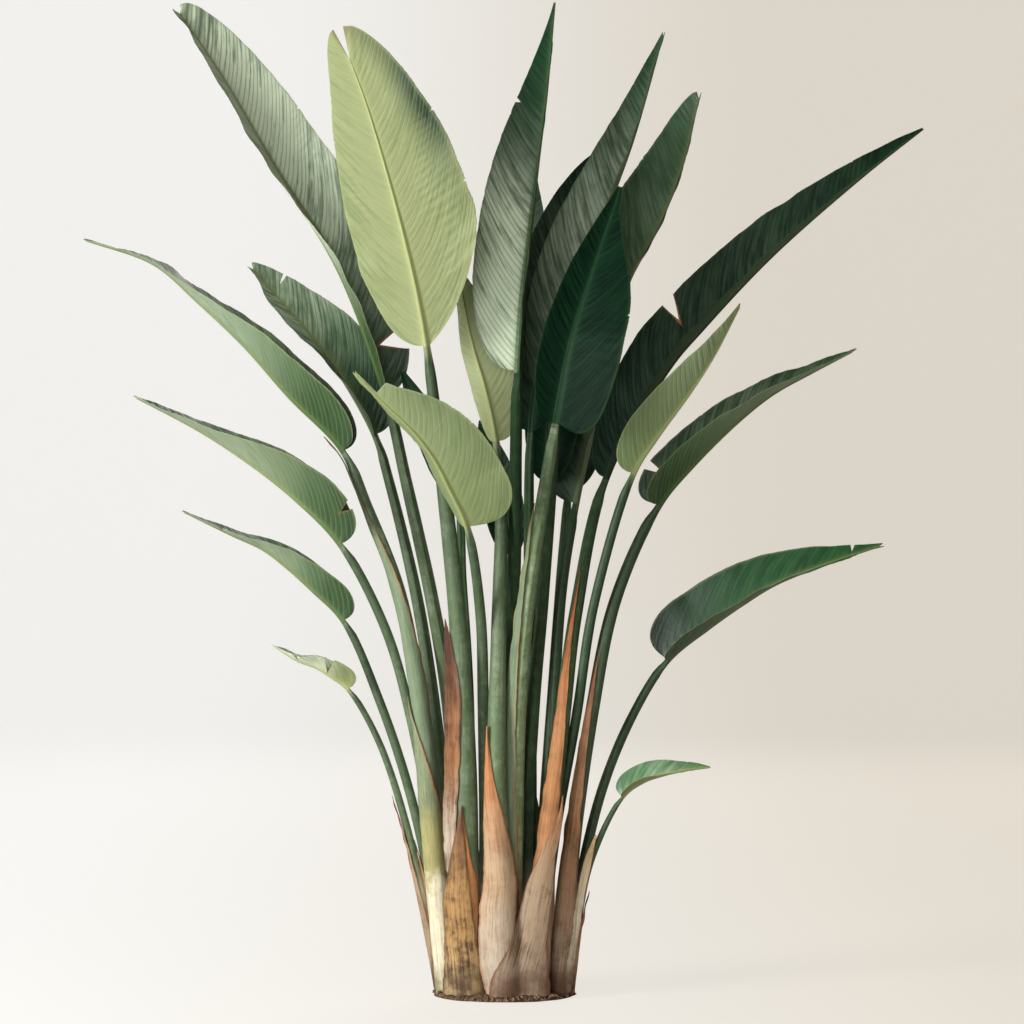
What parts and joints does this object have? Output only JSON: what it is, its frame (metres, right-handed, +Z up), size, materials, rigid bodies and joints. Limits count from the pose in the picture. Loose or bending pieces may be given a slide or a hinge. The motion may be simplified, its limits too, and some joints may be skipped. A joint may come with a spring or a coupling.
{
  "type": "bird of paradise plant",
  "caption": "Tall clump of paddle-shaped leaves on long grooved stalks that fan out from one flat cut root crown, with dried sheaths round their feet.",
  "frame": {"origin": "middle of the flat underside of the root crown, where the plant rests", "axes": "+Z up along the stalks, +X to the right and -Y towards the viewer of the pictured side"},
  "size_m": [1.6857, 0.6979, 1.9787],
  "materials": {
    "leaf_dark": "waxy, half gloss",
    "leaf_pale": "waxy, matte underside",
    "sheath_dry": "dry, fibrous",
    "root": "rough, cut"
  },
  "bodies": {
    "root": {"root_crown": "root", "leaf_left_high": "leaf_dark", "leaf_pale_tall": "leaf_pale", "leaf_left_upper": "leaf_dark", "leaf_left_inner": "leaf_dark", "leaf_left_middle": "leaf_dark", "leaf_left_lower": "leaf_dark", "leaf_left_small": "leaf_dark", "leaf_pale_front": "leaf_pale", "leaf_pale_inner": "leaf_pale", "leaf_left_hidden": "leaf_dark", "leaf_middle_low": "leaf_dark", "leaf_centre_tall": "leaf_dark", "leaf_centre_back": "leaf_dark", "leaf_right_tall": "leaf_dark", "leaf_dark_front": "leaf_dark", "leaf_right_back": "leaf_dark", "leaf_behind_centre": "leaf_dark", "leaf_right_long": "leaf_dark", "leaf_right_pale": "leaf_pale", "leaf_right_upper": "leaf_dark", "leaf_right_middle": "leaf_dark", "leaf_right_small": "leaf_dark", "leaf_back_right": "leaf_dark", "leaf_back_left": "leaf_dark", "sheath_centre": "sheath_dry", "sheath_mottled": "sheath_dry", "sheath_brown_tall": "sheath_dry", "sheath_orange": "sheath_dry", "sheath_rust": "sheath_dry", "sheath_left_edge": "sheath_dry", "sheath_left_small": "sheath_dry", "sheath_right_small": "sheath_dry", "sheath_dark_front": "sheath_dry", "sheath_back": "sheath_dry", "sheath_back_right": "sheath_dry", "sheath_left_back": "sheath_dry"}
  },
  "joints": []
}
